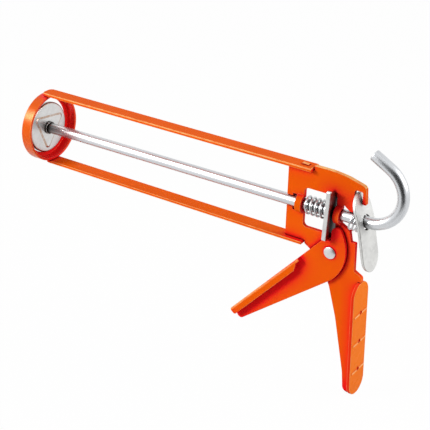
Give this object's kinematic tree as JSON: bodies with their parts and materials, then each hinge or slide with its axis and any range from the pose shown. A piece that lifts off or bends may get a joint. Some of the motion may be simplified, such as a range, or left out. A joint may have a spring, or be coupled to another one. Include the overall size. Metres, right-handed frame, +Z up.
{
  "type": "caulking gun",
  "caption": "Skeleton caulking gun with an open rail cradle, smooth push rod with pull hook, ratchetless drive plate, thumb release and sheet metal trigger.",
  "frame": {"origin": "the middle of the collar ring's front face, level with the loops that carry the push rod", "axes": "+X along the push rod towards its hook, +Z up, away from the handle, and the trigger on the -Y side"},
  "size_m": [0.3107, 0.053, 0.186],
  "materials": {
    "orange_paint": "gloss orange paint",
    "zinc_plate": "satin zinc plate",
    "spring_wire": "bright drawn wire",
    "bright_rod": "bright zinc plated rod"
  },
  "bodies": {
    "frame": {"front_ring": "orange_paint", "top_rail": "orange_paint", "bottom_rail": "orange_paint", "body_plate": "orange_paint", "handle_strip": "orange_paint", "trigger_pin": "zinc_plate", "trigger_washer": "zinc_plate", "drive_spring": "spring_wire", "release_spring": "spring_wire"},
    "plunger": {"plunger_disc": "zinc_plate"},
    "rod": {"push_rod": "bright_rod", "plunger_washer": "zinc_plate", "lock_washer": "zinc_plate", "plunger_nut": "zinc_plate"},
    "trigger": {"trigger": "orange_paint"},
    "drive": {"drive_plate": "zinc_plate"},
    "release": {"release_plate": "zinc_plate"}
  },
  "joints": [
    {"name": "plunger_slide", "type": "slide", "parent": "frame", "child": "plunger", "axis": [1, 0, 0.0054], "range_m": [0, 0.205]},
    {"name": "rod_turn", "type": "hinge", "parent": "plunger", "child": "rod", "pos_m": [0.2579, 0, 0], "axis": [1, 0, 0.0054], "range_deg": [-135, 135]},
    {"name": "trigger_pull", "type": "hinge", "parent": "frame", "child": "trigger", "pos_m": [0.2549, 0, -0.028], "axis": [0, -1, 0], "range_deg": [0, 38], "stiffness_Nm_per_rad": 0.2, "springref_deg": -22.92},
    {"name": "drive_slide", "type": "slide", "parent": "frame", "child": "drive", "axis": [-1, 0, 0], "range_m": [0, 0.0106], "deforming": ["drive_spring"]},
    {"name": "release_press", "type": "hinge", "parent": "frame", "child": "release", "pos_m": [0.2736, 0, 0.0121], "axis": [0, 1, 0], "range_deg": [0, 10], "stiffness_Nm_per_rad": 0.3, "springref_deg": -11.46, "deforming": ["release_spring"]}
  ],
  "couplings": [
    {"joint": "drive_slide", "follows": "trigger_pull", "m_per_rad": 0.0158}
  ]
}
